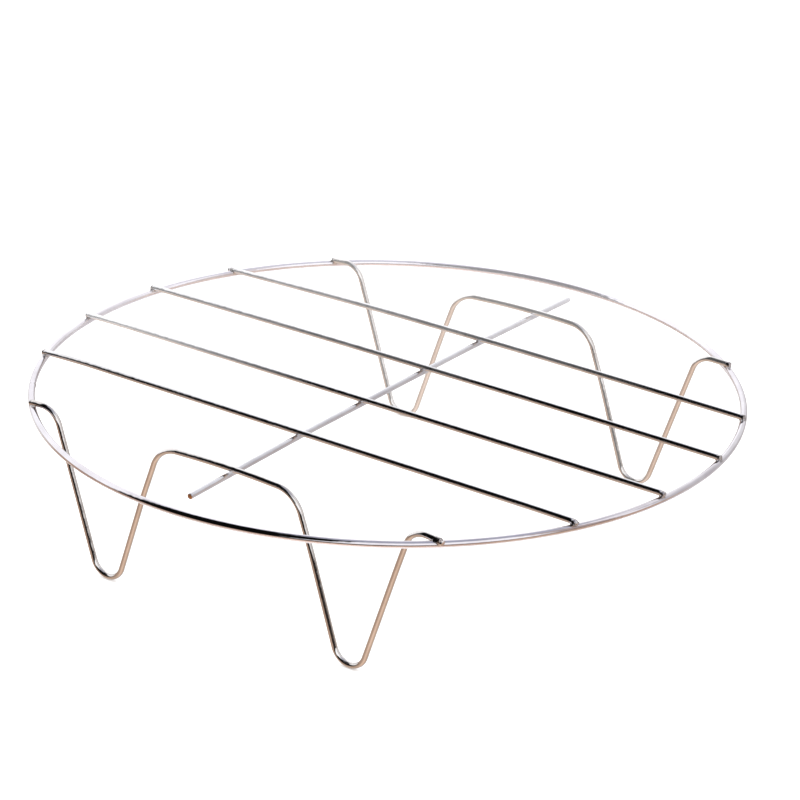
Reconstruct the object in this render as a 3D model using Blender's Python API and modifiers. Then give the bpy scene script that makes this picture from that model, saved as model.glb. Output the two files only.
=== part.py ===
"""A round wire cooling rack, 300 mm across and 70 mm high.

A hoop of round wire carries four parallel rungs, which lie on top of it. Two bent leg wires, one in
front and one behind, run parallel to the rungs at the same level and drop into two V-shaped feet
each. A cross brace runs under the rungs and the legs' level spans. Every crossing is a resistance
weld with a small bead between the two wires, and the hoop's own ends meet in a butt weld.

The origin is on the surface that the feet stand on, under the hoop's centre. +X runs along the
rungs, +Y towards the back and +Z up. Every length is in metres.
"""

import math
from collections import namedtuple

import bmesh
import bpy
from mathutils import Matrix, Vector

# The whole rack.
OUTER_DIAMETER = 0.300
TOTAL_HEIGHT = 0.070
RING_WIRE = 0.0030
GRID_WIRE = 0.0025

# The grid: rungs at an even pitch, and the legs about one pitch outside the last rungs. The rack is
# set up by hand, so the back leg sits a little to the left and turned, and the brace is off centre.
RUNG_PITCH = 0.043
RUNG_ROWS = (-1.5, -0.5, 0.5, 1.5)
LEG_Y = {"front": -0.1084, "back": 0.1066}
LEG_SHIFT = {"front": 0.0, "back": -0.0035}
LEG_TURN = {"front": 0.0, "back": math.radians(1.6)}
BRACE_LENGTH = 0.270
BRACE_MIDDLE = (0.0010, 0.0027)

# Where the wires are cut: a common inset from the hoop's outer edge, and how much longer each wire
# runs than that at its left and right end, as sheared by hand.
END_INSET = 0.0012
CUT_LONGER = {
    "rung_1": (0.0008, 0.0016),
    "rung_2": (0.0006, 0.0010),
    "rung_3": (0.0005, 0.0003),
    "rung_4": (0.0026, 0.0005),
    "leg_wire_front": (0.0008, 0.0024),
    "leg_wire_back": (0.0000, 0.0008),
}

# Each V of a leg wire: its middle, its half width at the span's level and the lean of its arms.
V_MIDDLE = 0.0618
V_HALF_WIDTH = 0.0275
ARM_LEAN = math.radians(18.0)
SPAN_BEND_RADIUS = 0.0120
STUB_BEND_RADIUS = 0.0095
FOOT_BEND_POINTS = 8
TOP_BEND_POINTS = 5

# Welds: the space between two crossing wires, what a bead keeps clear of them, and its half sizes.
WELD_SPACE = 0.0003
BEAD_CLEARANCE = 0.0001
BEAD_HALF_SIZE = (0.0019, 0.0019, 0.0011)
BEAD_SEGMENTS = 16
BEAD_RINGS = 8
BUTT_AZIMUTH = math.radians(218.0)
BUTT_THICKNESS = 0.0009
BUTT_UPSET = 0.00015
BUTT_SEGMENTS = 24
BUTT_EDGE = 0.0002

# Facets round a wire, with one facing straight up, and points round the hoop.
BEVEL_RESOLUTION = 4
WIRE_SIDES = 4 + 2 * BEVEL_RESOLUTION
FACET_TURN = math.pi / WIRE_SIDES
RING_POINTS = 96

# Heights of the wires' centrelines.
SPAN_Z = TOTAL_HEIGHT - GRID_WIRE / 2
FOOT_Z = GRID_WIRE / 2
BRACE_Z = SPAN_Z - GRID_WIRE - WELD_SPACE
RING_Z = SPAN_Z - GRID_WIRE / 2 - WELD_SPACE - RING_WIRE / 2
RING_RADIUS = (OUTER_DIAMETER - RING_WIRE) / 2

SIDES = {"left": -1, "right": 1}

# The line of a rung or a leg wire: its y under the rack's middle, its turn about Z, how far along
# itself it sits off centre, and how much longer it is cut at its left and right end.
Row = namedtuple("Row", "y turn shift longer")


def clear_scene():
    """Remove whatever the open file holds."""
    for obj in list(bpy.data.objects):
        bpy.data.objects.remove(obj, do_unlink=True)


def new_collection(name):
    """Make a collection in the scene."""
    made = bpy.data.collections.new(name)
    bpy.context.scene.collection.children.link(made)
    return made


def metal(name, colour, roughness):
    """Make a plain metallic Principled material."""
    made = bpy.data.materials.new(name)
    made.use_nodes = True
    shader = made.node_tree.nodes["Principled BSDF"]
    shader.inputs["Base Color"].default_value = (*colour, 1.0)
    shader.inputs["Metallic"].default_value = 1.0
    shader.inputs["Roughness"].default_value = roughness
    return made


def wire(name, points, diameter, material, collection):
    """Make a round wire through the points, as a curve with flat cut ends.

    Each flat side lies at the wire's true radius, so heights and gaps are exact.
    """
    curve = bpy.data.curves.new(name, "CURVE")
    curve.dimensions = "3D"
    curve.twist_mode = "Z_UP"
    curve.bevel_depth = diameter / 2 / math.cos(FACET_TURN)
    curve.bevel_resolution = BEVEL_RESOLUTION
    curve.use_fill_caps = True
    spline = curve.splines.new("POLY")
    spline.points.add(len(points) - 1)
    for point, place in zip(spline.points, points):
        point.co = (*place, 1.0)
        point.tilt = FACET_TURN
    curve.materials.append(material)
    made = bpy.data.objects.new(name, curve)
    collection.objects.link(made)
    return made


def clearance_tool(name, points, diameter, material, collection):
    """Make a hidden mesh of a wire with the bead's clearance round it, to cut beads with."""
    fat = wire(name, points, diameter + 2 * BEAD_CLEARANCE, material, collection)
    graph = bpy.context.evaluated_depsgraph_get()
    mesh = bpy.data.meshes.new_from_object(fat.evaluated_get(graph))
    shape = bmesh.new()
    shape.from_mesh(mesh)
    bmesh.ops.remove_doubles(shape, verts=shape.verts, dist=1e-6)
    bmesh.ops.recalc_face_normals(shape, faces=shape.faces)
    shape.to_mesh(mesh)
    shape.free()
    tool = bpy.data.objects.new(name + "_clearance", mesh)
    tool.matrix_world = fat.matrix_world
    tool.hide_render = True
    tool.display_type = "WIRE"
    collection.objects.link(tool)
    bpy.data.objects.remove(fat, do_unlink=True)
    return tool


def bend(corner, before, after, radius, count):
    """Points of a rounded corner, on straight pieces that each touch the arc at their middle.

    before and after are unit directions along the wire, into the corner and out of it.
    """
    turn = before.angle(after)
    across = (after - before).normalized()
    middle = corner + across * (radius / math.cos(turn / 2))
    step = turn / count
    out = (before - after).normalized()
    along = (before + after).normalized()
    reach = radius / math.cos(step / 2)
    points = []
    for index in range(count):
        angle = (index - (count - 1) / 2) * step
        points.append(middle + reach * (out * math.cos(angle) + along * math.sin(angle)))
    return points


def on_row(row, along, z):
    """The point of a grid wire's line at a distance along it from the rack's middle, at height z."""
    return Vector((along * math.cos(row.turn), row.y + along * math.sin(row.turn), z))


def reach(row, radius, sign):
    """How far along a grid wire's line it meets a circle round the rack's middle."""
    off_middle = row.y * math.cos(row.turn)
    return -row.y * math.sin(row.turn) + sign * math.sqrt(radius**2 - off_middle**2)


def wire_end(row, sign):
    """Where a grid wire is cut, about over the hoop's outer edge."""
    longer = row.longer[1] if sign > 0 else -row.longer[0]
    return on_row(row, reach(row, OUTER_DIAMETER / 2 - END_INSET, sign) + longer, SPAN_Z)


def ring_points():
    """The hoop's centreline, from one side of its butt weld round to the other."""
    half_gap = (BUTT_THICKNESS / 2 + WELD_SPACE) / RING_RADIUS
    first = BUTT_AZIMUTH + half_gap
    last = BUTT_AZIMUTH + 2 * math.pi - half_gap
    step = 2 * math.pi / RING_POINTS
    angles = [first]
    angles += [n * step for n in range(2 * RING_POINTS) if first < n * step < last]
    angles.append(last)
    return [Vector((RING_RADIUS * math.cos(a), RING_RADIUS * math.sin(a), RING_Z)) for a in angles]


def rung_points(row):
    """A straight rung from one side of the hoop to the other."""
    return [wire_end(row, -1), wire_end(row, 1)]


def brace_points():
    """The straight brace, which stops short of the hoop at both ends."""
    x, y = BRACE_MIDDLE
    half = BRACE_LENGTH / 2
    return [Vector((x, y - half, BRACE_Z)), Vector((x, y + half, BRACE_Z))]


def foot_bend_radius():
    """The radius that brings the V's bottom exactly to the foot's centreline."""
    arms_meet_below = V_HALF_WIDTH / math.tan(ARM_LEAN)
    drop = SPAN_Z - FOOT_Z
    return (arms_meet_below - drop) / (1 / math.sin(ARM_LEAN) - 1)


def v_points():
    """A V with both its top bends, as (distance outwards from the V's middle, height)."""
    level = Vector((1.0, 0.0))
    down = Vector((math.sin(ARM_LEAN), -math.cos(ARM_LEAN)))
    up = Vector((math.sin(ARM_LEAN), math.cos(ARM_LEAN)))
    inner = Vector((-V_HALF_WIDTH, SPAN_Z))
    outer = Vector((V_HALF_WIDTH, SPAN_Z))
    foot = Vector((0.0, SPAN_Z - V_HALF_WIDTH / math.tan(ARM_LEAN)))
    points = bend(inner, level, down, SPAN_BEND_RADIUS, TOP_BEND_POINTS)
    points += bend(foot, down, up, foot_bend_radius(), FOOT_BEND_POINTS)
    points += bend(outer, up, level, STUB_BEND_RADIUS, TOP_BEND_POINTS)
    return points


def leg_points(row):
    """A whole leg wire: stub, V, span, V and stub, from left to right."""
    right = [on_row(row, row.shift + V_MIDDLE + p.x, p.y) for p in v_points()]
    left = [on_row(row, row.shift - V_MIDDLE - p.x, p.y) for p in reversed(v_points())]
    return [wire_end(row, -1)] + left + right + [wire_end(row, 1)]


def weld_bead(name, lower, lower_wire, turn, tools, material, collection):
    """A small flattened bead on top of the lower of two crossing wires, at their crossing."""
    shape = bmesh.new()
    bmesh.ops.create_uvsphere(shape, u_segments=BEAD_SEGMENTS, v_segments=BEAD_RINGS, radius=1.0)
    bmesh.ops.scale(shape, vec=BEAD_HALF_SIZE, verts=shape.verts)
    mesh = bpy.data.meshes.new(name)
    shape.to_mesh(mesh)
    shape.free()
    mesh.shade_smooth()
    mesh.materials.append(material)
    made = bpy.data.objects.new(name, mesh)
    made.location = lower + Vector((0.0, 0.0, (lower_wire + WELD_SPACE) / 2))
    made.rotation_euler = (0.0, 0.0, turn)
    collection.objects.link(made)
    for tool in tools:
        cut = made.modifiers.new("clear_of_" + tool.name, "BOOLEAN")
        cut.operation = "DIFFERENCE"
        cut.object = tool
    return made


def butt_weld(name, material, collection):
    """The thin upset collar between the hoop's two ends."""
    shape = bmesh.new()
    radius = RING_WIRE / 2 + BUTT_UPSET
    bmesh.ops.create_cone(
        shape,
        cap_ends=True,
        segments=BUTT_SEGMENTS,
        radius1=radius,
        radius2=radius,
        depth=BUTT_THICKNESS,
    )
    mesh = bpy.data.meshes.new(name)
    shape.to_mesh(mesh)
    shape.free()
    mesh.materials.append(material)
    made = bpy.data.objects.new(name, mesh)
    radial = Vector((math.cos(BUTT_AZIMUTH), math.sin(BUTT_AZIMUTH), 0.0))
    tangent = Vector((-radial.y, radial.x, 0.0))
    turned = tangent.to_track_quat("Z", "Y")
    place = radial * RING_RADIUS + Vector((0.0, 0.0, RING_Z))
    made.matrix_world = Matrix.LocRotScale(place, turned, None)
    rounding = made.modifiers.new("rounded_edge", "BEVEL")
    rounding.width = BUTT_EDGE
    rounding.segments = 2
    rounding.angle_limit = math.radians(60.0)
    collection.objects.link(made)
    return made


def main():
    """Build the rack."""
    clear_scene()
    rack = new_collection("cooling_rack")
    cutters = new_collection("cutters")

    ring_metal = metal("ring_metal", (0.78, 0.78, 0.80), 0.12)
    rung_metal = metal("rung_metal", (0.80, 0.80, 0.81), 0.10)
    leg_metal = metal("leg_metal", (0.80, 0.78, 0.76), 0.12)
    brace_metal = metal("brace_metal", (0.76, 0.76, 0.78), 0.15)
    weld_metal = metal("weld_metal", (0.45, 0.43, 0.42), 0.35)

    wire("ring", ring_points(), RING_WIRE, ring_metal, rack)
    ring_tool = clearance_tool("ring_tool", ring_points(), RING_WIRE, ring_metal, cutters)
    wire("cross_brace", brace_points(), GRID_WIRE, brace_metal, rack)
    brace_tool = clearance_tool("brace_tool", brace_points(), GRID_WIRE, brace_metal, cutters)

    rows = []
    for number, place in enumerate(RUNG_ROWS, start=1):
        name = f"rung_{number}"
        row = Row(place * RUNG_PITCH, 0.0, 0.0, CUT_LONGER[name])
        rows.append((name, row, rung_points, rung_metal))
    for place, y in LEG_Y.items():
        name = f"leg_wire_{place}"
        row = Row(y, LEG_TURN[place], LEG_SHIFT[place], CUT_LONGER[name])
        rows.append((name, row, leg_points, leg_metal))

    for name, row, points_at, material in rows:
        wire(name, points_at(row), GRID_WIRE, material, rack)
        tool = clearance_tool(name + "_tool", points_at(row), GRID_WIRE, material, cutters)
        middle = on_row(row, BRACE_MIDDLE[0] / math.cos(row.turn), BRACE_Z)
        brace_pair = (tool, brace_tool)
        weld_bead(f"weld_{name}_brace", middle, GRID_WIRE, 0.0, brace_pair, weld_metal, rack)
        for side, sign in SIDES.items():
            place = on_row(row, reach(row, RING_RADIUS, sign), RING_Z)
            turn = math.atan2(place.y, place.x)
            ring_pair = (tool, ring_tool)
            weld_bead(
                f"weld_{name}_ring_{side}", place, RING_WIRE, turn, ring_pair, weld_metal, rack
            )

    butt_weld("weld_ring_butt", weld_metal, rack)


main()
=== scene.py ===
"""Looks for the round wire cooling rack: fine wires, welds, plated metal, studio and camera."""

import math

import bpy
import numpy as np
from mathutils import Matrix, Vector


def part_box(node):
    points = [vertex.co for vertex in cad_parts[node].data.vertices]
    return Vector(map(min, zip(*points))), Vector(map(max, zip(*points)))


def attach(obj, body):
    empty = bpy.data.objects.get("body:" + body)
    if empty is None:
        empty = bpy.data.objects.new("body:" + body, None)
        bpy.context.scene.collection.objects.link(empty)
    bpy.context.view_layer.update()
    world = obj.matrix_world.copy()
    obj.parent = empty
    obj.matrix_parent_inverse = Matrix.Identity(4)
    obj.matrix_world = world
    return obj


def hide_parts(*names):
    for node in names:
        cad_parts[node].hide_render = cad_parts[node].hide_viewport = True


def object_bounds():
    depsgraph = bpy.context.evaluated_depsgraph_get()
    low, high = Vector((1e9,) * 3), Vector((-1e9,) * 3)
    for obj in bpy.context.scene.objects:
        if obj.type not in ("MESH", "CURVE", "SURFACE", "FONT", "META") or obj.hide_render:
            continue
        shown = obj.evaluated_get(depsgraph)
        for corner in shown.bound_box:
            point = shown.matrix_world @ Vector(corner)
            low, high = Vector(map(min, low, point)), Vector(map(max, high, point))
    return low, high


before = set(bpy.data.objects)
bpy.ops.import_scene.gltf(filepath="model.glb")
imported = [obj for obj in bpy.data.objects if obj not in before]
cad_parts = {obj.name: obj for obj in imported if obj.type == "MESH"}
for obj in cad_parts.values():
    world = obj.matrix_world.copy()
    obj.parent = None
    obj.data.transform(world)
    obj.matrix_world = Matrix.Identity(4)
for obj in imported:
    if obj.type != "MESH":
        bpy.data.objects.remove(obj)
cad_low, cad_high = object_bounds()

# The pieces, as the frame names them.
RUNGS = ("rung_1", "rung_2", "rung_3", "rung_4")
LEGS = ("leg_wire_front", "leg_wire_back")

# How each leg wire was set up: its turn about Z, and how far off centre its Vs sit along it.
LEG_TURN = {"leg_wire_front": 0.0, "leg_wire_back": math.radians(1.6)}
LEG_SHIFT = {"leg_wire_front": 0.0, "leg_wire_back": -0.0035}

# Each V of a leg wire, in metres: its middle, half its width at the top, its arms' lean and bends.
V_MIDDLE = 0.0618
V_HALF_WIDTH = 0.0275
ARM_LEAN = math.radians(18.0)
SPAN_BEND_RADIUS = 0.0120
STUB_BEND_RADIUS = 0.0095

# How far the welding pressed each wire's left and right end down at the hoop, and over what length.
SET_DOWN = {
    "rung_1": ((0.00075, 0.025), (0.00020, 0.025)),
    "rung_2": ((0.00030, 0.025), (0.00020, 0.090)),
    "rung_3": ((0.00060, 0.110), (0.00070, 0.110)),
    "rung_4": ((0.00150, 0.095), (0.00095, 0.120)),
    "leg_wire_front": ((0.00060, 0.030), (0.00130, 0.030)),
    "leg_wire_back": ((0.00140, 0.036), (0.00070, 0.030)),
}
SET_DOWN_CURVE = 1.5

# A leg wire is pressed down fully above the second height, and not at all below the first.
LEG_PRESS_HEIGHTS = (0.040, 0.064)

# How the electrodes mashed the wires' ends: by what share of the height, how much wider that made
# them, how far short of the crossing it starts, how long its slope is, and how far below the wire's
# bottom a point still counts as part of the end.
MASH = {"left": 0.10, "right": 0.44}
MASH_SPREAD = 0.25
MASH_START = 0.0010
MASH_LENGTH = 0.0023
MASH_SLACK = 0.001

# How far off its even place a rung was laid.
LAID_OFF = {"rung_3": 0.0012, "rung_4": -0.0003}

# The legs' spans sag at the brace and arch down to their bends, and the brace's ends droop.
SPAN_SAG = 0.00045
SPAN_ARCH = 1.05
BRACE_DROOP_FROM = 0.054
BRACE_DROOP = 0.0215
BRACE_DROOP_ROUNDING = 0.010

# How finely a wire is made.
WIRE_SIDES = 36
STATION_STEP = 0.0007
END_STATION_STEP = 0.00025
END_LENGTH = 0.0070
BEND_STATION_STEP = 0.0006
RIM_ROUNDING = 0.00022
RIM_STEPS = 5
FACE_RINGS = 4
FACE_DOMING = 0.35

# What the tools leave on a wire: ovals in the bends, electrode flats at the welds, sheared ends.
BEND_SQUEEZE = 0.045
BEND_SPREAD = 0.025
PIN_DENT = 0.00009
ELECTRODE_FLAT = 0.00006
ELECTRODE_REACH = 0.0013
SHEAR_LEAN = 0.06
WELD_SHADE_REACH = 0.0021

# The weld nuggets between crossing wires.
NUGGET_REACH = 0.0022
NUGGET_CELL = 0.00011
FILLET_BLEND = 0.0010
NUGGET_INSET = 0.00003
NUGGET_LUMPS = 0.00004
LUMP_SIZE = 0.0007
LUMP_WAVES = 6

# The hoop's butt weld: where it is, its collar's size, the lumps round it (how many, and how high as
# a share of the collar), the seam in its middle, and how far up it was dressed flush.
BUTT_AZIMUTH = math.radians(218.0)
BUTT_STATIONS = 15
BUTT_HALF_LENGTH = 0.0011
BUTT_SWELL = 0.00022
BUTT_INSET = 0.00004
BUTT_LUMPS = ((3, 0.25), (7, 0.18))
BUTT_SEAM_DEPTH = 0.45
BUTT_SEAM_WIDTH = 0.12
BUTT_DRESSED_FROM = 0.15


def node_middle(name):
    """The middle of a CAD node's box."""
    low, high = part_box(name)
    return (low + high) / 2


def wire_radius(name):
    """Half the height of a straight or round node's box, which is its wire's radius."""
    low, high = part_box(name)
    return (high.z - low.z) / 2


GRID_RADIUS = wire_radius("rung_1")
RING_WIRE_RADIUS = wire_radius("ring")
RING_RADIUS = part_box("ring")[1].x - RING_WIRE_RADIUS
RING_Z = node_middle("ring").z
SPAN_Z = node_middle("rung_1").z
BRACE_X = node_middle("cross_brace").x
BRACE_Z = node_middle("cross_brace").z
FOOT_Z = cad_low.z + GRID_RADIUS


def smooth(low, high, value):
    """0 at low, 1 at high, smooth between and level beyond."""
    share = np.clip((value - low) / (high - low), 0.0, 1.0)
    return share * share * (3 - 2 * share)


class Row:
    """The line a rung or a leg wire lies along, at a turn about Z, and where its ends are cut."""

    def __init__(self, name):
        self.name = name
        self.turn = LEG_TURN.get(name, 0.0)
        self.shift = LEG_SHIFT.get(name, 0.0)
        low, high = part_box(name)
        # The box of a turned wire goes past the middle of its end by this much.
        edge = GRID_RADIUS * math.sin(self.turn)
        self.ends = ((low.x + edge) / math.cos(self.turn), (high.x - edge) / math.cos(self.turn))
        slope = math.tan(self.turn)
        self.y = (low.y + high.y) / 2 - slope * (low.x + high.x) / 2 + LAID_OFF.get(name, 0.0)
        self.direction = np.array((math.cos(self.turn), math.sin(self.turn), 0.0))
        self.normal = np.array((-math.sin(self.turn), math.cos(self.turn), 0.0))

    def at(self, along, z):
        """The point at a distance along the row from the rack's middle."""
        return np.array((0.0, self.y, z)) + self.direction * along

    def reach(self, radius, sign):
        """How far along the row it meets a circle round the rack's middle."""
        off_middle = self.y * math.cos(self.turn)
        return -self.y * math.sin(self.turn) + sign * math.sqrt(radius**2 - off_middle**2)

    def set_down(self, points):
        """How far the welding pressed the wire down at each point."""
        along = (points - self.at(0.0, 0.0)) @ self.direction
        total = np.zeros(along.shape)
        for sign, (depth, length) in zip((-1, 1), SET_DOWN[self.name]):
            past = sign * (along - self.reach(RING_RADIUS, sign))
            total += depth * np.clip(1 + past / length, 0.0, 1.0) ** SET_DOWN_CURVE
        if self.name in LEGS:
            off = np.abs(along - self.shift)
            arch = SPAN_SAG + SPAN_ARCH * np.minimum(off, V_MIDDLE - V_HALF_WIDTH) ** 2
            total = np.where(off < V_MIDDLE, arch, total)
            total = total * smooth(*LEG_PRESS_HEIGHTS, points[..., 2])
        return total

    def press(self, points):
        """A finished wire's points, with its ends mashed and the wire set down."""
        points = points.copy()
        along = (points - self.at(0.0, 0.0)) @ self.direction
        across = (points - self.at(0.0, 0.0)) @ self.normal
        bottom = SPAN_Z - GRID_RADIUS
        for sign, side in ((-1, "left"), (1, "right")):
            start = sign * self.reach(RING_RADIUS, sign) - MASH_START
            share = smooth(start, start + MASH_LENGTH, sign * along)
            share = share * (points[:, 2] > bottom - MASH_SLACK)
            points[:, 2] -= (points[:, 2] - bottom) * MASH[side] * share
            points += self.normal * (across * MASH_SPREAD * MASH[side] * share)[:, None]
        points[:, 2] -= self.set_down(points)
        return points


def brace_droop(points):
    """How far the brace hangs below its middle at each point."""
    past = np.clip(np.abs(points[..., 1]) - BRACE_DROOP_FROM, 0.0, None)
    return BRACE_DROOP * past**2 / (past + BRACE_DROOP_ROUNDING)


def press_brace(points):
    """The points of the finished straight brace, with its ends drooping."""
    points = points.copy()
    points[:, 2] -= brace_droop(points)
    return points


# --- Wires -------------------------------------------------------------------------------------


class Path:
    """A wire's stations: places, tangents, the side a bend is on and how far into it they are."""

    def __init__(self, places, tangents, flat_normal, inward, bend, closed=False):
        self.places = np.asarray(places, float)
        self.tangents = np.asarray(tangents, float)
        self.flat_normal = np.asarray(flat_normal, float)
        self.inward = np.asarray(inward, float)
        self.bend = np.asarray(bend, float)
        self.closed = closed
        steps = np.linalg.norm(np.diff(self.places, axis=0), axis=1)
        self.along = np.concatenate([[0.0], np.cumsum(steps)])


def unit(vector):
    """The vector at length 1."""
    return vector / np.linalg.norm(vector)


def straight_path(start, end, flat_normal):
    """A straight wire between two points."""
    start = np.asarray(start, float)
    end = np.asarray(end, float)
    length = np.linalg.norm(end - start)
    fine = np.arange(0.0, END_LENGTH, END_STATION_STEP)
    middle = np.arange(END_LENGTH, length - END_LENGTH, STATION_STEP)
    along = np.concatenate([fine, middle, length - fine[::-1]])
    count = len(along)
    tangent = unit(end - start)
    return Path(
        start + tangent * along[:, None],
        np.tile(tangent, (count, 1)),
        flat_normal,
        np.zeros((count, 3)),
        np.zeros(count),
    )


def ring_path():
    """The closed hoop, starting at its butt weld."""
    count = int(round(2 * math.pi * RING_RADIUS / STATION_STEP))
    angle = BUTT_AZIMUTH + np.linspace(0.0, 2 * math.pi, count, endpoint=False)
    cosine = np.cos(angle)
    sine = np.sin(angle)
    zero = np.zeros(count)
    places = np.stack([RING_RADIUS * cosine, RING_RADIUS * sine, zero + RING_Z], axis=1)
    tangents = np.stack([-sine, cosine, zero], axis=1)
    return Path(places, tangents, (0, 0, 1), np.zeros((count, 3)), zero, closed=True)


def bent_path(corners, radii, flat_normal):
    """Straight runs joined by round bends. corners are the runs' meeting points."""
    places, tangents, inward, bend = [], [], [], []

    def add_station(place, tangent, side, share):
        places.append(place)
        tangents.append(tangent)
        inward.append(side)
        bend.append(share)

    here = corners[0]
    for index in range(1, len(corners) - 1):
        corner = corners[index]
        before = unit(corner - corners[index - 1])
        after = unit(corners[index + 1] - corner)
        turn = math.acos(float(np.clip(before @ after, -1.0, 1.0)))
        radius = radii[index - 1]
        reach = radius * math.tan(turn / 2)
        arc_start = corner - before * reach
        run = np.linalg.norm(arc_start - here)
        step = END_STATION_STEP if index == 1 else STATION_STEP
        for share in np.linspace(0.0, 1.0, int(math.ceil(run / step)), endpoint=False):
            add_station(here + (arc_start - here) * share, before, unit(after - before), 0.0)
        side = unit(after - before * float(before @ after))
        middle = arc_start + side * radius
        steps = int(math.ceil(radius * turn / BEND_STATION_STEP))
        for share in np.linspace(0.0, 1.0, steps, endpoint=False):
            angle = share * turn
            tangent = before * math.cos(angle) + side * math.sin(angle)
            normal = side * math.cos(angle) - before * math.sin(angle)
            add_station(middle - normal * radius, tangent, normal, math.sin(math.pi * share))
        here = corner + after * reach
    last = corners[-1]
    tangent = unit(last - here)
    run = np.linalg.norm(last - here)
    for share in np.linspace(0.0, 1.0, int(math.ceil(run / END_STATION_STEP)) + 1):
        add_station(here + (last - here) * share, tangent, np.zeros(3), 0.0)
    return Path(places, tangents, flat_normal, inward, bend)


def leg_path(row):
    """A leg wire: stub, V, span, V and stub."""
    arms_meet = V_HALF_WIDTH / math.tan(ARM_LEAN)
    foot_radius = (arms_meet - (SPAN_Z - FOOT_Z)) / (1 / math.sin(ARM_LEAN) - 1)
    right = [
        (V_MIDDLE - V_HALF_WIDTH, SPAN_Z, SPAN_BEND_RADIUS),
        (V_MIDDLE, SPAN_Z - arms_meet, foot_radius),
        (V_MIDDLE + V_HALF_WIDTH, SPAN_Z, STUB_BEND_RADIUS),
    ]
    left = [(-along, z, radius) for along, z, radius in reversed(right)]
    bends = left + right
    corners = [row.at(row.ends[0], SPAN_Z)]
    corners += [row.at(row.shift + along, z) for along, z, _ in bends]
    corners.append(row.at(row.ends[1], SPAN_Z))
    return bent_path(corners, [radius for _, _, radius in bends], row.normal)


def tube_stations(path, radius):
    """Rings of points round a path, squeezed where it bends, and where each is on the wire."""
    angle = np.linspace(0.0, 2 * math.pi, WIRE_SIDES, endpoint=False)
    cosine = np.cos(angle)
    sine = np.sin(angle)
    flat = np.broadcast_to(path.flat_normal, path.tangents.shape)
    across = np.cross(path.tangents, flat)
    bend = path.bend[:, None]
    out_of_plane = radius * cosine[None, :] * (1 + BEND_SPREAD * bend)
    in_plane = radius * sine[None, :] * (1 - BEND_SQUEEZE * bend)
    to_inside = np.sign((across * path.inward).sum(axis=1))[:, None]
    depth = in_plane * to_inside
    dent = PIN_DENT * np.clip(bend, 0.0, 1.0) ** 2
    in_plane = np.where(depth > radius - dent, (radius - dent) * to_inside, in_plane)
    points = path.places[:, None, :]
    points = points + flat[:, None, :] * out_of_plane[:, :, None]
    points = points + across[:, None, :] * in_plane[:, :, None]
    coords = np.empty(points.shape)
    coords[:, :, 0] = cosine
    coords[:, :, 1] = sine
    coords[:, :, 2] = path.along[:, None] * 1000
    return points, coords


def end_rings(points, coords, place, outward, lean):
    """Rings that close a tube's end: a rounded rim, then a slightly domed and sheared face."""
    spokes = points - place
    radius = np.linalg.norm(spokes, axis=1).mean()
    rings = []
    for step in range(1, RIM_STEPS + 1):
        angle = math.pi / 2 * step / RIM_STEPS
        size = (radius - RIM_ROUNDING * (1 - math.cos(angle))) / radius
        rings.append((size, RIM_ROUNDING * math.sin(angle)))
    flat_size = rings[-1][0]
    for step in range(1, FACE_RINGS):
        size = flat_size * (1 - step / FACE_RINGS)
        rings.append((size, RIM_ROUNDING * (1 + FACE_DOMING * (1 - size / flat_size))))
    made = []
    for size, reach in rings:
        ring = place + spokes * size + outward * (reach - RIM_ROUNDING)
        tilt = (spokes @ lean)[:, None] * size * SHEAR_LEAN * (reach / RIM_ROUNDING)
        ring_coords = coords.copy()
        ring_coords[:, :2] *= size
        made.append((ring - outward * tilt, ring_coords))
    return made


def grid_faces(rows, columns, closed):
    """Quads between rows of a tube, wrapping round its columns."""
    row = np.arange(rows if closed else rows - 1)[:, None]
    column = np.arange(columns)[None, :]
    after = (row + 1) % rows
    beside = (column + 1) % columns
    quads = [
        row * columns + column,
        row * columns + beside,
        after * columns + beside,
        after * columns + column,
    ]
    return np.stack(np.broadcast_arrays(*quads), axis=-1).reshape(-1, 4)


def press_flats(points, radius, welds):
    """Flatten a wire a little where an electrode pressed it against the other wire."""
    for centre, up in welds:
        near = np.hypot(points[:, 0] - centre[0], points[:, 1] - centre[1])
        depth = ELECTRODE_FLAT * np.exp(-((near / ELECTRODE_REACH) ** 2))
        limit = radius - depth
        height = points[:, 2] - centre[2]
        pressed = np.where(up * height > limit, up * limit, height)
        close = (near < 3 * ELECTRODE_REACH) & (np.abs(height) < 2 * radius)
        points[:, 2] = np.where(close, centre[2] + pressed, points[:, 2])


def weld_shade(points, welds, radius):
    """How near each point is to a weld, from 0 to 1."""
    shade = np.zeros(len(points))
    for centre, up in welds:
        contact = np.array([centre[0], centre[1], centre[2] - up * radius])
        distance = np.linalg.norm(points - contact, axis=1)
        shade = np.maximum(shade, np.exp(-((distance / WELD_SHADE_REACH) ** 2)))
    return shade


def new_mesh(name, vertices, faces, materials):
    """A mesh with its materials."""
    mesh = bpy.data.meshes.new(name)
    mesh.from_pydata(vertices, [], faces)
    for material in materials:
        mesh.materials.append(material)
    return mesh


def new_object(name, mesh):
    """Put a mesh in the scene."""
    made = bpy.data.objects.new(name, mesh)
    bpy.context.scene.collection.objects.link(made)
    return made


def new_piece(name, mesh, node):
    """Put a finished mesh in the scene as the piece that stands for its CAD node."""
    mesh.shade_smooth()
    made = new_object(name, mesh)
    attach(made, "root")
    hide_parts(node)


STORED_FIELD = {"FLOAT": "value", "FLOAT_VECTOR": "vector", "FLOAT_COLOR": "color"}


def store(mesh, name, kind, values):
    """Keep one value for each vertex on the mesh, for the materials to read."""
    layer = mesh.attributes.new(name, kind, "POINT")
    layer.data.foreach_set(STORED_FIELD[kind], np.ascontiguousarray(values, np.float32).ravel())


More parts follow.
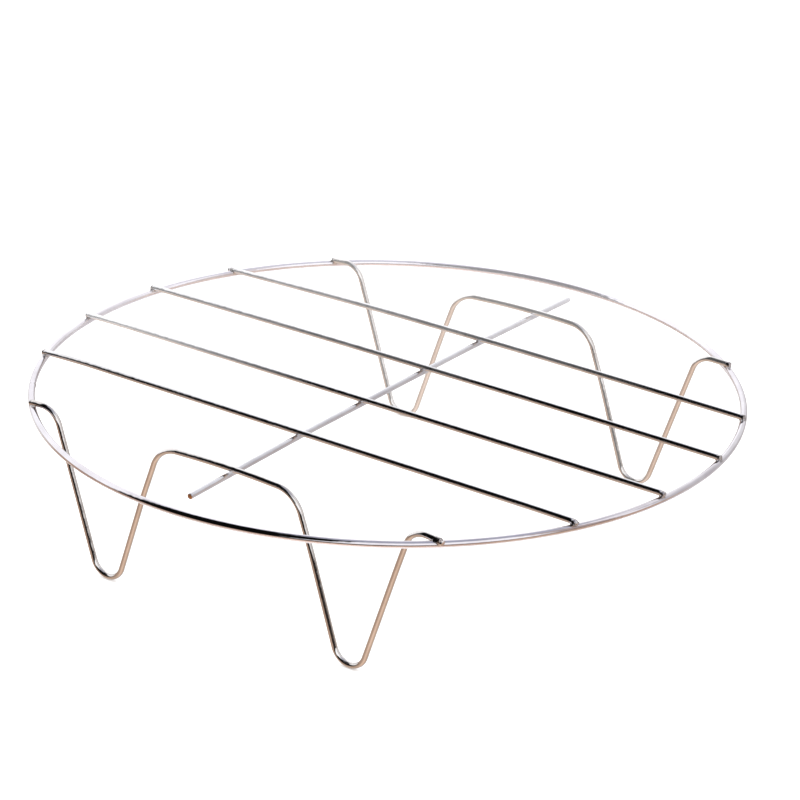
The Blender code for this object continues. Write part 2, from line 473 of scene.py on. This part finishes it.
class Shell:
    """A wire's skin as it grows: vertices with what is kept on them, and faces with materials."""

    def __init__(self):
        self.points = []
        self.coords = []
        self.bend = []
        self.faces = []
        self.face_material = []
        self.count = 0

    def add_vertices(self, points, coords, bend):
        """Add vertices. Gives their numbers."""
        self.points.append(points)
        self.coords.append(coords)
        self.bend.append(bend)
        numbers = self.count + np.arange(len(points))
        self.count += len(points)
        return numbers

    def add_faces(self, faces, material):
        """Add faces of one material, named by its place in the mesh's list."""
        self.faces += faces.tolist()
        self.face_material.append(np.full(len(faces), material, np.int32))


def close_end(shell, edge, rings, facing_on):
    """Close a tube's end ring with more rings and a fan. facing_on: it is the tube's last ring."""
    previous = edge
    for number, (ring, ring_coords) in enumerate(rings):
        current = shell.add_vertices(ring, ring_coords, np.zeros(WIRE_SIDES))
        quads = np.stack([previous, np.roll(previous, -1), np.roll(current, -1), current], axis=1)
        shell.add_faces(quads if facing_on else quads[:, ::-1], int(number >= RIM_STEPS))
        previous = current
    tip, tip_coords = (values.mean(axis=0)[None, :] for values in rings[-1])
    middle = np.repeat(shell.add_vertices(tip, tip_coords, np.zeros(1)), WIRE_SIDES)
    fan = np.stack([previous, np.roll(previous, -1), middle], axis=1)
    shell.add_faces(fan if facing_on else fan[:, ::-1], 1)


def wire_shell(path, radius):
    """The skin of a wire along a path, with its ends closed."""
    points, coords = tube_stations(path, radius)
    ends = () if path.closed else ((0, -path.tangents[0]), (-1, path.tangents[-1]))
    for end, outward in ends:
        # An end's own ring moves in by the rounding, so that the face ends where the wire does.
        points[end] -= outward * RIM_ROUNDING
    shell = Shell()
    bend = np.repeat(path.bend, WIRE_SIDES)
    numbers = shell.add_vertices(points.reshape(-1, 3), coords.reshape(-1, 3), bend)
    shell.add_faces(grid_faces(len(points), WIRE_SIDES, path.closed), 0)
    for end, outward in ends:
        lean = np.cross(path.tangents[end], path.flat_normal)
        rings = end_rings(points[end], coords[end], path.places[end], outward, lean)
        close_end(shell, numbers.reshape(-1, WIRE_SIDES)[end], rings, end == -1)
    return shell


def wire_piece(node, path, radius, welds, materials, press=None):
    """A finished wire for its CAD node. press moves its points to where the welding left them."""
    name = node + "_bright"
    shell = wire_shell(path, radius)
    vertices = np.concatenate(shell.points)
    press_flats(vertices, radius, welds)
    shade = weld_shade(vertices, welds, radius)
    if press:
        vertices = press(vertices)
    mesh = new_mesh(name, vertices.tolist(), shell.faces, materials)
    store(mesh, "wire_coord", "FLOAT_VECTOR", np.concatenate(shell.coords))
    store(mesh, "weld_near", "FLOAT", shade)
    store(mesh, "bend_mark", "FLOAT", np.concatenate(shell.bend))
    mesh.polygons.foreach_set("material_index", np.concatenate(shell.face_material))
    new_piece(name, mesh, node)


# --- Welds -------------------------------------------------------------------------------------


def smooth_union(first, second, blend):
    """Two distances joined with a fillet."""
    share = np.clip(0.5 + 0.5 * (second - first) / blend, 0.0, 1.0)
    return second * (1 - share) + first * share - blend * share * (1 - share)


def capped_rod(points, row, end, radius):
    """Distance to a wire on a row, whose cut end is at end (its other end is far away)."""
    across = (points - row.at(0.0, SPAN_Z)) @ row.normal
    side = np.hypot(across, points[..., 2] + row.set_down(points) - SPAN_Z) - radius
    if end is None:
        return side
    along = (points - row.at(0.0, SPAN_Z)) @ row.direction
    past = (along - end) * math.copysign(1.0, end)
    outside = np.hypot(np.maximum(side, 0.0), np.maximum(past, 0.0))
    return outside + np.minimum(np.maximum(side, past), 0.0)


def ring_distance(points):
    """Distance to the hoop's surface."""
    radial = np.hypot(points[..., 0], points[..., 1]) - RING_RADIUS
    return np.hypot(radial, points[..., 2] - RING_Z) - RING_WIRE_RADIUS


def brace_distance(points):
    """Distance to the brace's surface."""
    height = points[..., 2] + brace_droop(points) - BRACE_Z
    return np.hypot(points[..., 0] - BRACE_X, height) - GRID_RADIUS


def lumps(points, seed):
    """Smooth random lumps made of a few sine waves, from about -1 to 1."""
    random = np.random.default_rng(seed)
    total = np.zeros(points.shape[:-1])
    for _ in range(LUMP_WAVES):
        direction = random.normal(size=3)
        direction /= np.linalg.norm(direction)
        wave = direction * 2 * math.pi / (LUMP_SIZE * random.uniform(0.8, 2.2))
        total += np.sin(points @ wave + random.uniform(0, 2 * math.pi))
    return total * 2 / LUMP_WAVES


def surface_net(field, low, cell):
    """The surface where a field sampled on a grid crosses zero: vertices and outward quads."""
    inside = field < 0
    shape = tuple(n - 1 for n in field.shape)
    total = np.zeros(shape + (3,))
    count = np.zeros(shape)
    steps = [np.arange(float(n)) for n in shape]
    grid = np.stack(np.meshgrid(*steps, indexing="ij"), axis=-1)
    corners = [np.array((i, j, k)) for i in (0, 1) for j in (0, 1) for k in (0, 1)]

    def at(array, offset):
        return array[tuple(slice(o, o + n) for o, n in zip(offset, shape))]

    for first in corners:
        for axis in range(3):
            if first[axis]:
                continue
            second = first.copy()
            second[axis] = 1
            a = at(field, first)
            b = at(field, second)
            crosses = at(inside, first) != at(inside, second)
            share = np.where(crosses, a / np.where(crosses, a - b, 1.0), 0.0)
            spot = grid + first
            spot[..., axis] += share
            total += spot * crosses[..., None]
            count += crosses
    used = count > 0
    number = np.full(shape, -1)
    number[used] = np.arange(used.sum())
    vertices = low + total[used] / count[used][:, None] * cell
    quads = []
    for axis in range(3):
        one, two = [a for a in range(3) if a != axis]
        cut = [slice(1, -1)] * 3
        cut[axis] = slice(0, -1)
        ahead = list(cut)
        ahead[axis] = slice(1, None)
        a = inside[tuple(cut)]
        b = inside[tuple(ahead)]
        where = np.argwhere(a != b)
        if not len(where):
            continue
        flip = a[tuple(where.T)]
        where[:, one] += 1
        where[:, two] += 1
        around = []
        for step_one, step_two in ((-1, -1), (0, -1), (0, 0), (-1, 0)):
            cell_index = where.copy()
            cell_index[:, one] += step_one
            cell_index[:, two] += step_two
            around.append(number[tuple(cell_index.T)])
        square = np.stack(around, axis=1)
        turned = flip if axis != 1 else ~flip
        quads.append(np.where(turned[:, None], square, square[:, ::-1]))
    return vertices, np.concatenate(quads)


def nugget_piece(node, centre, row, end, lower, seed, material):
    """A weld under a row's wire: a fused core that shows as a lumpy fillet in the corner.

    end is where the row's wire is cut, and lower gives the distance to the wire below it.
    """
    reach = NUGGET_REACH + 2 * NUGGET_CELL
    count = int(2 * reach / NUGGET_CELL) + 1
    low = centre - reach
    axes = [low[a] + NUGGET_CELL * np.arange(count) for a in range(3)]
    points = np.stack(np.meshgrid(*axes, indexing="ij"), axis=-1)
    above = capped_rod(points, row, end, GRID_RADIUS)
    below = lower(points)
    corner = np.clip(1 - np.abs(above - below) / FILLET_BLEND, 0.0, 1.0)
    field = smooth_union(above, below, FILLET_BLEND)
    field = field + NUGGET_INSET + NUGGET_LUMPS * lumps(points, seed) * corner
    field = np.maximum(field, np.linalg.norm(points - centre, axis=-1) - NUGGET_REACH)
    vertices, quads = surface_net(field, low, NUGGET_CELL)
    name = node + "_nugget"
    mesh = new_mesh(name, vertices.tolist(), quads.tolist(), [material])
    new_piece(name, mesh, node)


def butt_weld_piece(material):
    """The hoop's butt weld: an uneven upset collar, dressed flush on top."""
    node = "weld_ring_butt"
    name = node + "_collar"
    random = np.random.default_rng(5)
    radial = np.array((math.cos(BUTT_AZIMUTH), math.sin(BUTT_AZIMUTH), 0.0))
    upright = np.array((0.0, 0.0, 1.0))
    tangent = np.cross(upright, radial)
    centre = radial * RING_RADIUS + upright * RING_Z
    angle = np.linspace(0.0, 2 * math.pi, WIRE_SIDES, endpoint=False)
    spokes = radial * np.cos(angle)[:, None] + upright * np.sin(angle)[:, None]
    uneven = np.ones(WIRE_SIDES)
    for lump_count, lump_height in BUTT_LUMPS:
        uneven += lump_height * np.sin(lump_count * angle + random.uniform(0, 2 * math.pi))
    dressed = np.clip(1 + BUTT_DRESSED_FROM - np.sin(angle), 0.0, 1.0)
    rings = []
    for share in np.linspace(-1.0, 1.0, BUTT_STATIONS):
        crest = max(0.0, math.cos(share * math.pi / 2)) ** 1.5
        seam = 1 - BUTT_SEAM_DEPTH * math.exp(-((share / BUTT_SEAM_WIDTH) ** 2))
        size = RING_WIRE_RADIUS - BUTT_INSET + BUTT_SWELL * crest * seam * uneven * dressed
        rings.append(centre + tangent * share * BUTT_HALF_LENGTH + spokes * size[:, None])
    faces = grid_faces(BUTT_STATIONS, WIRE_SIDES, False).tolist()
    faces.append(list(range(WIRE_SIDES - 1, -1, -1)))
    faces.append([(BUTT_STATIONS - 1) * WIRE_SIDES + n for n in range(WIRE_SIDES)])
    mesh = new_mesh(name, np.concatenate(rings).tolist(), faces, [material])
    new_piece(name, mesh, node)


# --- Materials ---------------------------------------------------------------------------------

# Where a painted sheen whitens the plating, standing for bright light the wires reflect: a direction
# across the rack, and distances along it in metres.
SHEEN_DIRECTION = (-0.574, 0.819, 0.0)
SHEEN_FROM = -0.020
SHEEN_TO = 0.120
SHEEN_MOST = 0.21

# The colours of the painted sheen that whitens the plating, of the stain that a weld's heat leaves,
# and of specks.
SHEEN_COLOUR = (0.93, 0.93, 0.94)
HEAT_STAIN = (0.38, 0.35, 0.34)
SPECK = (0.30, 0.28, 0.27)


def plug(tree, socket, value):
    """Link a socket to another node's output, or set it to a value."""
    if isinstance(value, bpy.types.NodeSocket):
        tree.links.new(value, socket)
    else:
        socket.default_value = value


def add_node(tree, kind, inputs=None, **settings):
    """Add a node, with its settings, and its inputs linked or set."""
    made = tree.nodes.new(kind)
    for key, value in settings.items():
        setattr(made, key, value)
    for key, value in (inputs or {}).items():
        plug(tree, made.inputs[key], value)
    return made


def ramp(tree, value, low, high, to_low=0.0, to_high=1.0, interpolation="LINEAR"):
    """Map a value from one range to another, clamped."""
    ranges = {"From Min": low, "From Max": high, "To Min": to_low, "To Max": to_high}
    made = add_node(
        tree, "ShaderNodeMapRange", {"Value": value, **ranges}, interpolation_type=interpolation
    )
    return made.outputs["Result"]


def math_node(tree, operation, first, second):
    """One arithmetic step."""
    return add_node(tree, "ShaderNodeMath", {0: first, 1: second}, operation=operation).outputs[0]


def mix_colour(tree, share, first, second):
    """Mix two colours."""
    inputs = {0: share, 6: first, 7: second}
    return add_node(tree, "ShaderNodeMix", inputs, data_type="RGBA").outputs[2]


def stretch(tree, vector, factors):
    """A vector multiplied by a factor along each axis."""
    inputs = {0: vector, 1: factors}
    return add_node(tree, "ShaderNodeVectorMath", inputs, operation="MULTIPLY").outputs[0]


def first_part(tree, vector):
    """A vector's X."""
    return add_node(tree, "ShaderNodeSeparateXYZ", {"Vector": vector}).outputs["X"]


def add_bumps(tree, shader, *layers):
    """Roughen a shader's surface with layers, each a height and its depth in metres."""
    normal = {}
    for height, distance in layers:
        inputs = {"Height": height, "Strength": 1.0, "Distance": distance, **normal}
        normal = {"Normal": add_node(tree, "ShaderNodeBump", inputs).outputs[0]}
    plug(tree, shader.inputs["Normal"], normal["Normal"])


def noise_on(tree, vector, scale, detail=2.0, roughness=0.5):
    """Noise over a vector."""
    inputs = {"Vector": vector, "Scale": scale, "Detail": detail, "Roughness": roughness}
    return add_node(tree, "ShaderNodeTexNoise", inputs).outputs["Fac"]


def attribute(tree, name, output):
    """A value kept on the mesh."""
    return add_node(tree, "ShaderNodeAttribute", attribute_name=name).outputs[output]


def new_metal(name):
    """A material with a metallic Principled shader, and its tree and shader."""
    made = bpy.data.materials.new(name)
    made.use_nodes = True
    tree = made.node_tree
    shader = tree.nodes["Principled BSDF"]
    shader.inputs["Metallic"].default_value = 1.0
    return made, tree, shader


def rgb(*colour):
    """A colour with full alpha."""
    return (*colour, 1.0)


def sheen_share(tree, place):
    """How much a painted sheen whitens the plating, for bright light it reflects: none at the front
    right, in uneven patches at the back left.
    """
    inputs = {0: place, 1: SHEEN_DIRECTION}
    made = add_node(tree, "ShaderNodeVectorMath", inputs, operation="DOT_PRODUCT")
    patches = ramp(tree, noise_on(tree, place, 45.0, 2.0, 0.5), 0.3, 0.7, -0.012, 0.012)
    depth = math_node(tree, "ADD", made.outputs["Value"], patches)
    return ramp(tree, depth, SHEEN_FROM, SHEEN_TO, 0.0, SHEEN_MOST, "SMOOTHSTEP")


def plated_wire(name, bright, dull, roughness, sheen_colour=SHEEN_COLOUR, underside=0.0, left=0.0):
    """Bright plated drawn wire: clouded plating, drawing lines, specks, dull welds and bends.

    Its sheen colour is the colour of a painted sheen that stands for bright reflections. underside
    is how much of that painted sheen the wire's underside gets, and left how much its left end gets.
    """
    made, tree, shader = new_metal(name)
    coord = attribute(tree, "wire_coord", "Vector")
    place = add_node(tree, "ShaderNodeTexCoord").outputs["Object"]
    weld = attribute(tree, "weld_near", "Fac")
    bend = attribute(tree, "bend_mark", "Fac")
    # A painted sheen: whiter, less metallic plating that stands for bright light the wire reflects,
    # growing towards the back left.
    sheen = sheen_share(tree, place)
    # More painted sheen on the wire's underside and at its left end, for the bright light they
    # reflect.
    if underside:
        low_side = ramp(tree, first_part(tree, coord), -0.1, -0.6, 0.0, underside)
        sheen = math_node(tree, "MAXIMUM", sheen, low_side)
    if left:
        left_end = ramp(tree, first_part(tree, place), -0.02, -0.12, 0.0, left)
        sheen = math_node(tree, "MAXIMUM", sheen, left_end)
    lines = noise_on(tree, stretch(tree, coord, (11.0, 11.0, 0.05)), 1.0, 3.0, 0.6)
    cloud = noise_on(tree, place, 70.0, 3.0, 0.55)
    waver = noise_on(tree, place, 260.0, 1.0, 0.4)
    fine = noise_on(tree, place, 3800.0, 2.0, 0.5)
    specks = ramp(tree, fine, 0.66, 0.74)
    cloud_share = ramp(tree, cloud, 0.35, 0.7)
    line_share = ramp(tree, lines, 0.55, 0.8, 0.0, 0.35)
    stain_share = math_node(tree, "MULTIPLY", ramp(tree, weld, 0.12, 0.85), 0.3)
    speck_share = math_node(tree, "MULTIPLY", specks, 0.35)
    colour = mix_colour(tree, cloud_share, rgb(*bright), rgb(*dull))
    colour = mix_colour(tree, line_share, colour, rgb(*[c * 0.72 for c in dull]))
    colour = mix_colour(tree, stain_share, colour, rgb(*HEAT_STAIN))
    colour = mix_colour(tree, speck_share, colour, rgb(*SPECK))
    colour = mix_colour(tree, sheen, colour, rgb(*sheen_colour))
    rough = ramp(tree, lines, 0.3, 0.75, roughness * 0.7, roughness * 1.6)
    duller = ((sheen, 0.2), (weld, 0.10), (bend, 0.05), (specks, 0.15), (cloud_share, 0.03))
    for share, more in duller:
        rough = math_node(tree, "ADD", rough, math_node(tree, "MULTIPLY", share, more))
    plug(tree, shader.inputs["Base Color"], colour)
    plug(tree, shader.inputs["Metallic"], math_node(tree, "SUBTRACT", 1.0, sheen))
    plug(tree, shader.inputs["Roughness"], rough)
    add_bumps(tree, shader, (lines, 0.0000012), (waver, 0.00007))
    return made


def painted_reflection_face(name, bright, dull):
    """A sheared wire end: plated over, with shear lines and a grain. Its colours are a painted
    reflection of the warm table.
    """
    made, tree, shader = new_metal(name)
    coord = attribute(tree, "wire_coord", "Vector")
    place = add_node(tree, "ShaderNodeTexCoord").outputs["Object"]
    lines = noise_on(tree, stretch(tree, coord, (14.0, 1.6, 0.0)), 1.0, 4.0, 0.6)
    grain = noise_on(tree, place, 5200.0, 3.0, 0.6)
    colour = mix_colour(tree, ramp(tree, lines, 0.35, 0.7), rgb(*bright), rgb(*dull))
    plug(tree, shader.inputs["Base Color"], colour)
    plug(tree, shader.inputs["Roughness"], ramp(tree, grain, 0.3, 0.7, 0.22, 0.42))
    add_bumps(tree, shader, (lines, 0.00002), (grain, 0.00001))
    return made


def weld_metal(name, bright, dull, sheen_colour):
    """A plated-over weld: darker, mottled and rougher than the wire, whitened by a painted sheen at
    the rack's left.
    """
    made, tree, shader = new_metal(name)
    place = add_node(tree, "ShaderNodeTexCoord").outputs["Object"]
    # A painted sheen whitens the weld at the rack's left, for bright reflections there.
    sheen = ramp(tree, first_part(tree, place), -0.04, -0.11, 0.0, 0.15)
    mottle = noise_on(tree, place, 900.0, 4.0, 0.6)
    grain = noise_on(tree, place, 6000.0, 2.0, 0.5)
    colour = mix_colour(tree, ramp(tree, mottle, 0.35, 0.65), rgb(*bright), rgb(*dull))
    colour = mix_colour(tree, sheen, colour, rgb(*sheen_colour))
    plug(tree, shader.inputs["Base Color"], colour)
    plug(tree, shader.inputs["Metallic"], math_node(tree, "SUBTRACT", 1.0, sheen))
    plug(tree, shader.inputs["Roughness"], ramp(tree, mottle, 0.3, 0.7, 0.07, 0.24))
    add_bumps(tree, shader, (mottle, 0.00004), (grain, 0.00001))
    return made


# --- The rack ----------------------------------------------------------------------------------


# Each metal's brighter and duller colours.
GRID_COLOURS = ((0.86, 0.86, 0.87), (0.74, 0.73, 0.73))
RING_COLOURS = ((0.86, 0.84, 0.87), (0.735, 0.70, 0.735))
# The painted sheen colour that whitens the ring, standing for bright reflections.
RING_SHEEN_COLOUR = (0.97, 0.94, 1.0)
LEG_COLOURS = ((0.85, 0.83, 0.81), (0.72, 0.69, 0.66))
BRACE_COLOURS = ((0.82, 0.82, 0.85), (0.70, 0.69, 0.72))
# The cut faces' colours are a painted reflection of the warm table, not the metal's own colour.
CUT_FACE_REFLECTION_COLOURS = ((0.90, 0.74, 0.64), (0.62, 0.46, 0.38))
BRACE_FACE_REFLECTION_COLOURS = ((0.80, 0.42, 0.20), (0.30, 0.13, 0.06))
WELD_COLOURS = ((0.74, 0.72, 0.72), (0.32, 0.29, 0.28))
# The painted sheen colour that whitens the welds at the rack's left.
WELD_SHEEN_COLOUR = (0.90, 0.89, 0.90)


def weld_row(row, number, material):
    """The three welds under a row: two at the hoop, one at the brace. Gives where they are."""
    crossings = []
    for side, sign, end in zip(("left", "right"), (-1, 1), row.ends):
        crossing = row.reach(RING_RADIUS, sign)
        crossings.append(crossing)
        wire_bottom = SPAN_Z - float(row.set_down(row.at(crossing, SPAN_Z))) - GRID_RADIUS
        centre = row.at(crossing, (RING_Z + RING_WIRE_RADIUS + wire_bottom) / 2)
        node = f"weld_{row.name}_ring_{side}"
        nugget_piece(node, centre, row, end, ring_distance, 10 * number + sign, material)
    crossing = BRACE_X / math.cos(row.turn)
    crossings.append(crossing)
    centre = row.at(crossing, (BRACE_Z + SPAN_Z) / 2)
    centre[2] -= float(row.set_down(centre) + brace_droop(centre)) / 2
    node = f"weld_{row.name}_brace"
    nugget_piece(node, centre, row, None, brace_distance, 10 * number + 5, material)
    return crossings


def build_rack():
    """Every wire and weld."""
    rung_metal = plated_wire("rung_plating", *GRID_COLOURS, 0.045)
    # Rung 2's left end and the ring's underside get extra painted sheen, for bright reflections.
    left_sheen_metal = plated_wire("rung_2_plating", *GRID_COLOURS, 0.045, left=0.30)
    ring_metal = plated_wire("ring_plating", *RING_COLOURS, 0.05, sheen_colour=RING_SHEEN_COLOUR, underside=0.55)
    leg_metal = plated_wire("leg_plating", *LEG_COLOURS, 0.055)
    brace_metal = plated_wire("brace_plating", *BRACE_COLOURS, 0.08)
    # The cut faces' tan and orange are a painted reflection of the warm table.
    reflection_face_metal = painted_reflection_face("painted_reflection_face", *CUT_FACE_REFLECTION_COLOURS)
    brace_reflection_face_metal = painted_reflection_face("brace_painted_reflection_face", *BRACE_FACE_REFLECTION_COLOURS)
    bead_metal = weld_metal("weld_plating", *WELD_COLOURS, WELD_SHEEN_COLOUR)

    ring_welds = []
    brace_welds = []
    for number, name in enumerate(RUNGS + LEGS, start=1):
        row = Row(name)
        crossings = weld_row(row, number, bead_metal)
        own_welds = [(row.at(crossing, SPAN_Z), 1) for crossing in crossings]
        ring_welds += [(row.at(crossing, RING_Z), -1) for crossing in crossings[:2]]
        brace_welds.append((row.at(crossings[2], BRACE_Z), -1))
        if name in LEGS:
            path, metal, slot = leg_path(row), leg_metal, "leg_wire"
        else:
            ends = [row.at(end, SPAN_Z) for end in row.ends]
            metal = left_sheen_metal if name == "rung_2" else rung_metal
            path, slot = straight_path(*ends, row.normal), "rung_wire"
        metals = (metal, reflection_face_metal)
        wire_piece(name, path, GRID_RADIUS, own_welds, metals, row.press)

    metals = (ring_metal, reflection_face_metal)
    wire_piece("ring", ring_path(), RING_WIRE_RADIUS, ring_welds, metals)
    name = "cross_brace"
    low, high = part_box(name)
    path = straight_path((BRACE_X, low.y, BRACE_Z), (BRACE_X, high.y, BRACE_Z), (1, 0, 0))
    metals = (brace_metal, brace_reflection_face_metal)
    wire_piece(name, path, GRID_RADIUS, brace_welds, metals, press_brace)
    butt_weld_piece(bead_metal)


# --- Studio ------------------------------------------------------------------------------------

FLOOR_RADIUS = 9.0
FLOOR_SIDES = 96
FLOOR_COLOUR = (0.90, 0.90, 0.90)
WORLD_GLOW = (1.0, 1.0, 1.0)
WORLD_STRENGTH = 1.85
SOFTBOX_PLACE = (-0.3, 0.5, 1.7)
SOFTBOX_SIZE = 1.6
SOFTBOX_POWER = 6.0

# What the metal mirrors: a dome round the rack. Its places are given in degrees, as a turn from -Y
# towards +X and a rise above the grid.
DOME_RADIUS = 2.5
DOME_STEP = 2.0
WALL_GLOW = (1.15, 1.15, 1.18)
BACK_GLOW = (0.62, 0.60, 0.63)
REAR_GLOW = (0.85, 0.84, 0.86)
CEILING_GLOW = (0.46, 0.47, 0.56)
PILLAR_GLOW = (0.48, 0.40, 0.38)
TABLE_FAR_GLOW = (0.50, 0.35, 0.27)
TABLE_MID_GLOW = (0.60, 0.45, 0.36)
TABLE_NEAR_GLOW = (0.90, 0.65, 0.51)
TABLE_SIDE_GLOW = (0.62, 0.44, 0.33)
TABLE_BACK_GLOW = (0.64, 0.61, 0.61)
TABLE_LEFT_GLOW = (0.95, 0.93, 0.92)
EDGE_GLOW = (0.02, 0.015, 0.015)
PANEL_GLOW = (0.003, 0.003, 0.003)

CAMERA_AZIMUTH = math.radians(35.084)
CAMERA_ELEVATION = math.radians(23.324)
CAMERA_ROLL = math.radians(1.632)
CAMERA_DISTANCE = 1.260
CAMERA_TARGET = Vector((0.02405, -0.02539, 0.07569))
CAMERA_LENS = 139.14


def glowing(name):
    """An emitting material that takes its colour from the mesh."""
    made = bpy.data.materials.new(name)
    made.use_nodes = True
    tree = made.node_tree
    tree.nodes.clear()
    colour = attribute(tree, "glow", "Color")
    glow = add_node(tree, "ShaderNodeEmission", {"Color": colour, "Strength": 1.0})
    out = add_node(tree, "ShaderNodeOutputMaterial")
    tree.links.new(glow.outputs[0], out.inputs["Surface"])
    return made


def only_in_reflections(card):
    """A studio card that the metal mirrors, but that neither lights the set nor shows."""
    card.visible_camera = False
    card.visible_diffuse = False
    card.visible_shadow = False
    card.visible_transmission = False
    card.visible_volume_scatter = False


def between(low, high, soft_low, soft_high, value):
    """1 between low and high, falling to 0 over a soft edge on either side."""
    return smooth(low - soft_low, low, value) * (1 - smooth(high, high + soft_high, value))


def blend(first, second, share):
    """A colour between two colours, for each share."""
    first = np.asarray(first)
    return first + (np.asarray(second) - first) * share


def table_glow(turn, rise, away):
    """The warm table, lighter close by, and paler to the left and behind."""
    colour = blend(TABLE_FAR_GLOW, TABLE_MID_GLOW, smooth(-26.0, -46.0, rise))
    light = between(5.0, 45.0, 45.0, 45.0, turn) * smooth(-22.0, -42.0, rise)
    colour = blend(colour, TABLE_NEAR_GLOW, light)
    colour = blend(colour, TABLE_SIDE_GLOW, between(80.0, 125.0, 30.0, 20.0, turn))
    light = between(-135.0, -100.0, 20.0, 20.0, turn) * smooth(-34.0, -14.0, rise)
    colour = blend(colour, TABLE_LEFT_GLOW, light)
    return blend(colour, TABLE_BACK_GLOW, smooth(122.0, 145.0, away))


def wall_glow(turn, rise, away):
    """White walls, greyer behind, under a grey ceiling, with a dull pillar to the right."""
    colour = blend(WALL_GLOW, REAR_GLOW, smooth(150.0, 170.0, away))
    grey = between(130.0, 160.0, 18.0, 14.0, turn) * (1 - smooth(30.0, 50.0, rise))
    colour = blend(colour, BACK_GLOW, grey)
    colour = blend(colour, PILLAR_GLOW, between(90.0, 103.0, 12.0, 12.0, turn))
    return blend(colour, CEILING_GLOW, smooth(44.0, 62.0, rise))


def panel_share(turn, rise):
    """The dark panel in front, whose left side widens towards its top."""
    left = -46.0 - 8.0 * smooth(28.0, 44.0, rise)
    left = left - 18.0 * smooth(42.0, 54.0, rise) - 40.0 * smooth(52.0, 64.0, rise)
    right = 4.0 + 14.0 * smooth(6.0, 22.0, rise)
    return between(left, right, 8.0, 9.0, turn) * between(-12.0, 72.0, 3.0, 9.0, rise)


def dome_glow(turn, rise):
    """What the metal mirrors in each direction."""
    away = abs((turn + 180.0) % 360.0 - 180.0)
    table = table_glow(turn, rise, away)
    colour = blend(table, wall_glow(turn, rise, away), smooth(-3.0, 1.0, rise))
    low = -3.5 - 11.0 * between(-60.0, 34.0, 10.0, 20.0, turn)
    edge = between(low, 2.5, 2.0, 1.5, rise)
    edge = edge * (0.25 + 0.75 * between(-40.0, 100.0, 12.0, 14.0, turn))
    colour = blend(colour, EDGE_GLOW, edge)
    return blend(colour, PANEL_GLOW, panel_share(turn, rise))


def reflection_dome():
    """A dome round the set that only the metal mirrors: walls, ceiling, table and a dark panel."""
    turns = np.arange(-180.0, 180.0, DOME_STEP)
    rises = np.arange(-90.0, 90.0 + DOME_STEP / 2, DOME_STEP)
    rise, turn = (grid.reshape(-1, 1) for grid in np.meshgrid(rises, turns, indexing="ij"))
    angle = np.radians(turn)
    flat = np.cos(np.radians(rise)) * DOME_RADIUS
    height = np.sin(np.radians(rise)) * DOME_RADIUS + SPAN_Z
    vertices = np.hstack([flat * np.sin(angle), -flat * np.cos(angle), height])
    faces = grid_faces(len(rises), len(turns), False)
    mesh = new_mesh(
        "reflection_dome", vertices.tolist(), faces.tolist(), [glowing("reflection_dome")]
    )
    store(mesh, "glow", "FLOAT_COLOR", np.hstack([dome_glow(turn, rise), np.ones_like(turn)]))
    made = new_object("reflection_dome", mesh)
    only_in_reflections(made)


def build_studio():
    """Pale floor, white light, and the dome that bright metal mirrors."""
    world = bpy.data.worlds.new("studio")
    bpy.context.scene.world = world
    world.use_nodes = True
    tree = world.node_tree
    tree.nodes.clear()
    inputs = {"Color": rgb(*WORLD_GLOW), "Strength": WORLD_STRENGTH}
    back = add_node(tree, "ShaderNodeBackground", inputs)
    out = add_node(tree, "ShaderNodeOutputWorld")
    tree.links.new(back.outputs[0], out.inputs["Surface"])

    paint = bpy.data.materials.new("floor_paint")
    paint.use_nodes = True
    shader = paint.node_tree.nodes["Principled BSDF"]
    shader.inputs["Base Color"].default_value = rgb(*FLOOR_COLOUR)
    shader.inputs["Roughness"].default_value = 0.9
    shader.inputs["Specular IOR Level"].default_value = 0.1
    angles = np.linspace(0, 2 * math.pi, FLOOR_SIDES, endpoint=False)
    rim = [(FLOOR_RADIUS * math.cos(a), FLOOR_RADIUS * math.sin(a), cad_low.z) for a in angles]
    floor = new_object("floor", new_mesh("floor", rim, [list(range(FLOOR_SIDES))], [paint]))
    floor.visible_glossy = False
    reflection_dome()

    lamp_data = bpy.data.lights.new("softbox", "AREA")
    lamp_data.shape = "DISK"
    lamp_data.size = SOFTBOX_SIZE
    lamp_data.energy = SOFTBOX_POWER
    lamp = bpy.data.objects.new("softbox", lamp_data)
    lamp.location = SOFTBOX_PLACE
    lamp.visible_glossy = False
    lamp.rotation_euler = (-lamp.location).to_track_quat("-Z", "Y").to_euler()
    bpy.context.scene.collection.objects.link(lamp)


def build_camera():
    """The photographer's place, looking down across the rack's front right."""
    data = bpy.data.cameras.new("camera")
    data.sensor_width = 36.0
    data.lens = CAMERA_LENS
    data.clip_start = 0.01
    data.clip_end = 100.0
    camera = bpy.data.objects.new("camera", data)
    flat = math.cos(CAMERA_ELEVATION)
    across = math.sin(CAMERA_AZIMUTH) * flat
    forward = math.cos(CAMERA_AZIMUTH) * flat
    back = Vector((across, -forward, math.sin(CAMERA_ELEVATION)))
    level = Vector((0, 0, 1)).cross(back).normalized()
    upright = back.cross(level)
    right = level * math.cos(CAMERA_ROLL) + upright * math.sin(CAMERA_ROLL)
    up = upright * math.cos(CAMERA_ROLL) - level * math.sin(CAMERA_ROLL)
    turned = Matrix((right, up, back)).transposed().to_4x4()
    camera.matrix_world = Matrix.Translation(CAMERA_TARGET + back * CAMERA_DISTANCE) @ turned
    bpy.context.scene.collection.objects.link(camera)
    bpy.context.scene.camera = camera


build_rack()
build_studio()
build_camera()
bpy.context.scene.view_settings.view_transform = "Standard"
